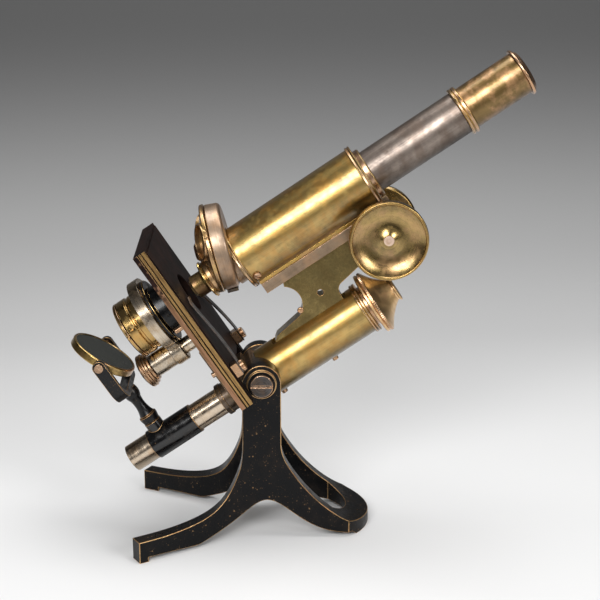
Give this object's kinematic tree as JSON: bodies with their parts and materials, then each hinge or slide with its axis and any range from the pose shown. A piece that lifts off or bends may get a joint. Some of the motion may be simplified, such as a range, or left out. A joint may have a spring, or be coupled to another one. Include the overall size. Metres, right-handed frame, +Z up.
{
  "type": "compound microscope",
  "caption": "Antique brass compound microscope on a black cast stand, leaning back, with rack focus, fine focus head, turning nosepiece, stage, condenser, draw tube and mirror.",
  "frame": {"origin": "on the floor, under the middle of the whole object's box", "axes": "+Z up, +X towards the eyepiece and the user, +Y to the far side, along the inclination axis"},
  "size_m": [0.273, 0.1198, 0.2873],
  "materials": {
    "japan": "worn gloss black japan with brown specks and brass showing along edges",
    "brass": "aged lacquered brass, brushed along the tube",
    "bronze": "darker rose brass, turned",
    "nickel": "worn warm grey nickel plate, mottled",
    "steel": "dull blued steel",
    "glass": "polished",
    "silvered": "old silvered glass"
  },
  "bodies": {
    "stand": {"foot_casting": "japan", "trunnion_screws": "steel"},
    "limb": {"limb_joint": "japan", "column_tube": "brass", "column_screws": "bronze", "column_ring": "brass", "tail_flange": "nickel", "stage_plate": "brass", "stage_top": "japan", "stage_facing": "japan", "stage_pins": "nickel", "substage_post": "nickel"},
    "fine_screw_head": {"fine_screw": "steel", "fine_head": "brass"},
    "arm": {"slide_core": "brass", "arm_web": "brass", "arm_screw": "bronze", "guide_rails": "brass", "pinion_housing": "brass"},
    "pinion": {"pinion_shaft": "steel", "coarse_knob_near": "brass", "coarse_knob_far": "brass"},
    "body": {"body_tube": "brass", "slide_bar": "brass", "rack": "steel", "body_lower_ring": "brass", "body_upper_ring": "brass", "draw_bush": "brass", "body_screw": "bronze", "nosepiece_cover": "bronze", "nosepiece_pivot": "bronze", "nosepiece_catch": "japan"},
    "nosepiece": {"nosepiece_disc": "bronze", "objective_collar": "bronze", "objective_barrel": "brass", "objective_lens": "glass"},
    "draw": {"draw_tube": "nickel", "draw_ring": "brass"},
    "eyepiece": {"eyepiece_barrel": "brass", "eyepiece_cap": "brass", "eye_lens": "glass", "field_lens": "glass"},
    "clip_near": {"clip_near_pillar": "brass", "clip_near_blade": "nickel"},
    "clip_far": {"clip_far_pillar": "brass", "clip_far_blade": "nickel"},
    "substage_screw": {"substage_knob": "bronze"},
    "substage": {"substage_carrier": "nickel", "condenser_cell": "japan", "condenser_drum": "brass", "condenser_top_lens": "glass"},
    "iris": {"iris_ring": "bronze"},
    "tail": {"tail_tube": "nickel"},
    "mirror_slider": {"mirror_sleeve": "japan"},
    "mirror_yoke": {"mirror_fork": "japan", "fork_pins": "bronze"},
    "mirror": {"mirror_cell": "brass", "plane_glass": "silvered", "concave_glass": "silvered"}
  },
  "joints": [
    {"name": "lean", "type": "hinge", "parent": "stand", "child": "limb", "pos_m": [-0.02356, 0, 0.097], "axis": [0, 1, 0], "range_deg": [-56.5, 33.5]},
    {"name": "fine_turn", "type": "hinge", "parent": "limb", "child": "fine_screw_head", "pos_m": [0.04459, 0, 0.13899], "axis": [0.8339, 0, 0.5519], "range_deg": [-545, 545]},
    {"name": "fine_slide", "type": "slide", "parent": "limb", "child": "arm", "axis": [0.8339, 0, 0.5519], "range_m": [-0.0015, 0.0015]},
    {"name": "coarse_turn", "type": "hinge", "parent": "arm", "child": "pinion", "pos_m": [0.04992, 0, 0.18221], "axis": [0, 1, 0], "range_deg": [-18, 281]},
    {"name": "body_slide", "type": "slide", "parent": "arm", "child": "body", "axis": [0.8339, 0, 0.5519], "range_m": [-0.0023, 0.039]},
    {"name": "nosepiece_turn", "type": "hinge", "parent": "body", "child": "nosepiece", "pos_m": [-0.05015, 0, 0.17328], "axis": [0.9699, 0, 0.2436], "continuous": true},
    {"name": "draw_slide", "type": "slide", "parent": "body", "child": "draw", "axis": [0.8339, 0, 0.5519], "range_m": [-0.06, 0.015]},
    {"name": "eyepiece_lift", "type": "slide", "parent": "draw", "child": "eyepiece", "axis": [0.8339, 0, 0.5519], "range_m": [0, 0.035]},
    {"name": "clip_near_turn", "type": "hinge", "parent": "limb", "child": "clip_near", "pos_m": [-0.03349, -0.0335, 0.11201], "axis": [0.8339, 0, 0.5519], "range_deg": [-5, 35]},
    {"name": "clip_far_turn", "type": "hinge", "parent": "limb", "child": "clip_far", "pos_m": [-0.03349, 0.0335, 0.11201], "axis": [0.8339, 0, 0.5519], "range_deg": [-35, 5]},
    {"name": "substage_turn", "type": "hinge", "parent": "limb", "child": "substage_screw", "pos_m": [-0.09073, 0, 0.09883], "axis": [0.8339, 0, 0.5519], "range_deg": [0, 460]},
    {"name": "substage_slide", "type": "slide", "parent": "limb", "child": "substage", "axis": [0.8339, 0, 0.5519], "range_m": [0, 0.0063]},
    {"name": "iris_turn", "type": "hinge", "parent": "substage", "child": "iris", "pos_m": [-0.10013, 0, 0.12391], "axis": [0.8339, 0, 0.5519], "range_deg": [-45, 45]},
    {"name": "tail_swing", "type": "hinge", "parent": "limb", "child": "tail", "pos_m": [-0.07216, 0, 0.06172], "axis": [0.8339, 0, 0.5519], "range_deg": [-5, 5]},
    {"name": "mirror_slide", "type": "slide", "parent": "tail", "child": "mirror_slider", "axis": [0.8339, 0, 0.5519], "range_m": [-0.008, 0]},
    {"name": "mirror_fork_turn", "type": "hinge", "parent": "mirror_slider", "child": "mirror_yoke", "pos_m": [-0.09345, 0, 0.0716], "axis": [-0.5519, 0, 0.8339], "range_deg": [-12, 12]},
    {"name": "mirror_tilt", "type": "hinge", "parent": "mirror_yoke", "child": "mirror", "pos_m": [-0.11779, 0, 0.10838], "axis": [0, 1, 0], "range_deg": [0, 116]}
  ],
  "couplings": [
    {"joint": "fine_turn", "follows": "fine_slide", "rad_per_m": 6283.2},
    {"joint": "coarse_turn", "follows": "body_slide", "rad_per_m": 125},
    {"joint": "substage_turn", "follows": "substage_slide", "rad_per_m": 1256.6}
  ]
}
